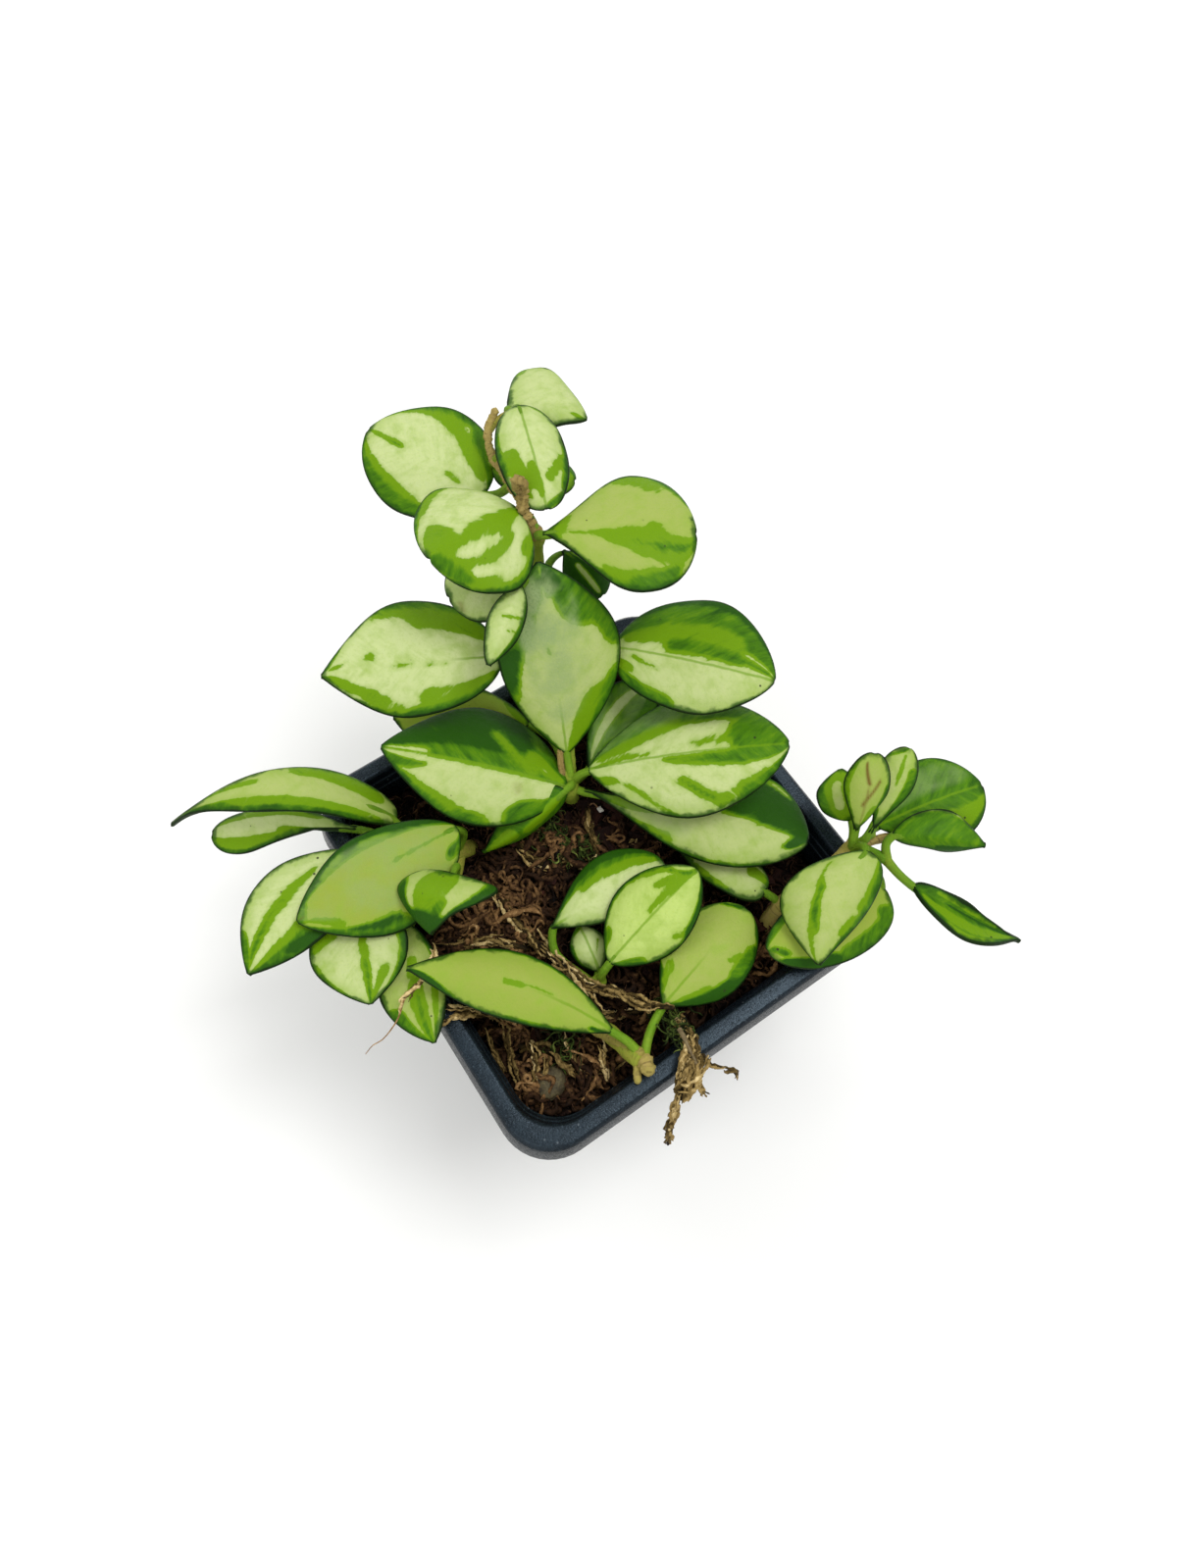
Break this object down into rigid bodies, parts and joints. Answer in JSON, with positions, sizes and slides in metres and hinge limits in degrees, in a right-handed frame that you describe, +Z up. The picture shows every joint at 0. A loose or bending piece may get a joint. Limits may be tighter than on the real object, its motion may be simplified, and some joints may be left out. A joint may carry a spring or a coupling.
{
  "type": "potted variegated hoya plant",
  "caption": "Variegated hoya heuschkeliana: rounded cream and green leaves on short vines, rooted in a square black nursery pot of growing medium.",
  "frame": {"origin": "centre of the pot's foot, on the surface that the pot stands on", "axes": "+Z up; X and Y run along the sides of the square pot"},
  "size_m": [0.1549, 0.1733, 0.1353],
  "materials": {
    "pot_plastic": "satin black moulded plastic",
    "growing_medium": "dark fibrous bark and sphagnum",
    "stone": "rough tan grit",
    "foliage": "waxy leaf, green with cream"
  },
  "bodies": {
    "root": {"pot": "pot_plastic", "growing_medium": "growing_medium", "pebble": "stone", "tall_vine": "foliage", "left_vine": "foliage", "front_shoot": "foliage", "middle_shoot": "foliage", "right_vine": "foliage"}
  },
  "joints": []
}
